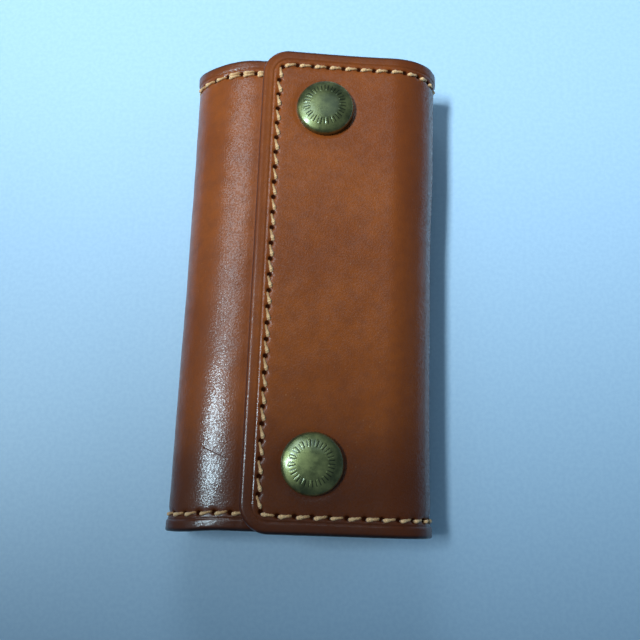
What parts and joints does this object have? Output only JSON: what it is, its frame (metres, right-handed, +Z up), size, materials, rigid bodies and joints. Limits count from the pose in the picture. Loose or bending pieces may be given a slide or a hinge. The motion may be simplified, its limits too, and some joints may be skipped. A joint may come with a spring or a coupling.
{
  "type": "leather key case",
  "caption": "Closed trifold leather key case with two domed snap caps; its flaps unfold on side folds over a rail of swivelling spring-gated key hooks.",
  "frame": {"origin": "on the resting surface, under the middle of the closed case's bounding box", "axes": "+Y along the folds towards the key rail's end, +Z up out of the front flap, +X towards the front flap's fold"},
  "size_m": [0.0652, 0.1244, 0.028],
  "materials": {
    "cover_leather": "glossy waxed bridle leather",
    "lining_leather": "matt natural leather",
    "thread": "waxed linen thread",
    "antique_brass": "antique brass, worn bright on the crown",
    "polished_brass": "satin",
    "spring_steel": "satin"
  },
  "bodies": {
    "back": {"back_cover": "cover_leather", "back_lining": "lining_leather", "back_thread": "thread", "key_rail": "antique_brass", "rail_rivets": "polished_brass"},
    "right_fold_lower": {"right_lower_cover": "cover_leather", "right_lower_lining": "lining_leather", "right_lower_thread": "thread"},
    "right_fold_upper": {"right_upper_cover": "cover_leather", "right_upper_lining": "lining_leather", "right_upper_thread": "thread"},
    "left_fold_lower": {"left_lower_cover": "cover_leather", "left_lower_lining": "lining_leather", "left_lower_thread": "thread"},
    "left_fold_upper": {"left_upper_cover": "cover_leather", "left_upper_lining": "lining_leather", "left_upper_thread": "thread"},
    "front_flap": {"front_cover": "cover_leather", "front_lining": "lining_leather", "front_thread": "thread", "upper_cap": "antique_brass", "upper_socket": "polished_brass", "upper_spring": "spring_steel", "lower_cap": "antique_brass", "lower_socket": "polished_brass", "lower_spring": "spring_steel"},
    "inner_flap": {"inner_cover": "cover_leather", "inner_lining": "lining_leather", "inner_thread": "thread", "upper_stud": "polished_brass", "upper_eyelet": "polished_brass", "lower_stud": "polished_brass", "lower_eyelet": "polished_brass"},
    "hook_1": {"hook_1_swivel": "antique_brass", "hook_1_loop": "antique_brass", "hook_1_gate_pin": "spring_steel"},
    "gate_1": {"hook_1_gate": "polished_brass"},
    "hook_2": {"hook_2_swivel": "antique_brass", "hook_2_loop": "antique_brass", "hook_2_gate_pin": "spring_steel"},
    "gate_2": {"hook_2_gate": "polished_brass"},
    "hook_3": {"hook_3_swivel": "antique_brass", "hook_3_loop": "antique_brass", "hook_3_gate_pin": "spring_steel"},
    "gate_3": {"hook_3_gate": "polished_brass"},
    "hook_4": {"hook_4_swivel": "antique_brass", "hook_4_loop": "antique_brass", "hook_4_gate_pin": "spring_steel"},
    "gate_4": {"hook_4_gate": "polished_brass"}
  },
  "joints": [
    {"name": "right_fold_bottom", "type": "hinge", "parent": "back", "child": "right_fold_lower", "pos_m": [0.02635, 0, 0.00168], "axis": [0, 1, 0], "range_deg": [0, 58], "deforming": ["upper_spring", "lower_spring"]},
    {"name": "right_fold_middle", "type": "hinge", "parent": "right_fold_lower", "child": "right_fold_upper", "pos_m": [0.0326, 0, 0.0125], "axis": [0, 1, 0], "range_deg": [0, 58]},
    {"name": "right_fold_top", "type": "hinge", "parent": "right_fold_upper", "child": "front_flap", "pos_m": [0.02635, 0, 0.02332], "axis": [0, 1, 0], "range_deg": [0, 58]},
    {"name": "left_fold_bottom", "type": "hinge", "parent": "back", "child": "left_fold_lower", "pos_m": [-0.0275, 0, 0.00137], "axis": [0, -1, 0], "range_deg": [0, 26.1]},
    {"name": "left_fold_middle", "type": "hinge", "parent": "left_fold_lower", "child": "left_fold_upper", "pos_m": [-0.0326, 0, 0.0102], "axis": [0, -1, 0], "range_deg": [0, 26.1]},
    {"name": "left_fold_top", "type": "hinge", "parent": "left_fold_upper", "child": "inner_flap", "pos_m": [-0.0275, 0, 0.01903], "axis": [0, -1, 0], "range_deg": [0, 26.1]},
    {"name": "hook_1_turn", "type": "hinge", "parent": "back", "child": "hook_1", "pos_m": [-0.01555, 0.0417, 0.0074], "axis": [0, 1, 0], "continuous": true},
    {"name": "gate_1_open", "type": "hinge", "parent": "hook_1", "child": "gate_1", "pos_m": [-0.01225, 0.0351, 0.0074], "axis": [0, 0, -1], "range_deg": [0, 22], "stiffness_Nm_per_rad": 0.002, "springref_deg": -17.19},
    {"name": "hook_2_turn", "type": "hinge", "parent": "back", "child": "hook_2", "pos_m": [-0.00595, 0.0417, 0.0074], "axis": [0, 1, 0], "continuous": true},
    {"name": "gate_2_open", "type": "hinge", "parent": "hook_2", "child": "gate_2", "pos_m": [-0.00265, 0.0351, 0.0074], "axis": [0, 0, -1], "range_deg": [0, 22], "stiffness_Nm_per_rad": 0.002, "springref_deg": -17.19},
    {"name": "hook_3_turn", "type": "hinge", "parent": "back", "child": "hook_3", "pos_m": [0.00365, 0.0417, 0.0074], "axis": [0, 1, 0], "continuous": true},
    {"name": "gate_3_open", "type": "hinge", "parent": "hook_3", "child": "gate_3", "pos_m": [0.00695, 0.0351, 0.0074], "axis": [0, 0, -1], "range_deg": [0, 22], "stiffness_Nm_per_rad": 0.002, "springref_deg": -17.19},
    {"name": "hook_4_turn", "type": "hinge", "parent": "back", "child": "hook_4", "pos_m": [0.01325, 0.0417, 0.0074], "axis": [0, 1, 0], "continuous": true},
    {"name": "gate_4_open", "type": "hinge", "parent": "hook_4", "child": "gate_4", "pos_m": [0.01655, 0.0351, 0.0074], "axis": [0, 0, -1], "range_deg": [0, 22], "stiffness_Nm_per_rad": 0.002, "springref_deg": -17.19}
  ],
  "couplings": [
    {"joint": "right_fold_middle", "follows": "right_fold_bottom", "ratio": 1},
    {"joint": "right_fold_top", "follows": "right_fold_bottom", "ratio": 1},
    {"joint": "left_fold_bottom", "follows": "right_fold_bottom", "ratio": 0.45},
    {"joint": "left_fold_middle", "follows": "right_fold_bottom", "ratio": 0.45},
    {"joint": "left_fold_top", "follows": "right_fold_bottom", "ratio": 0.45}
  ]
}
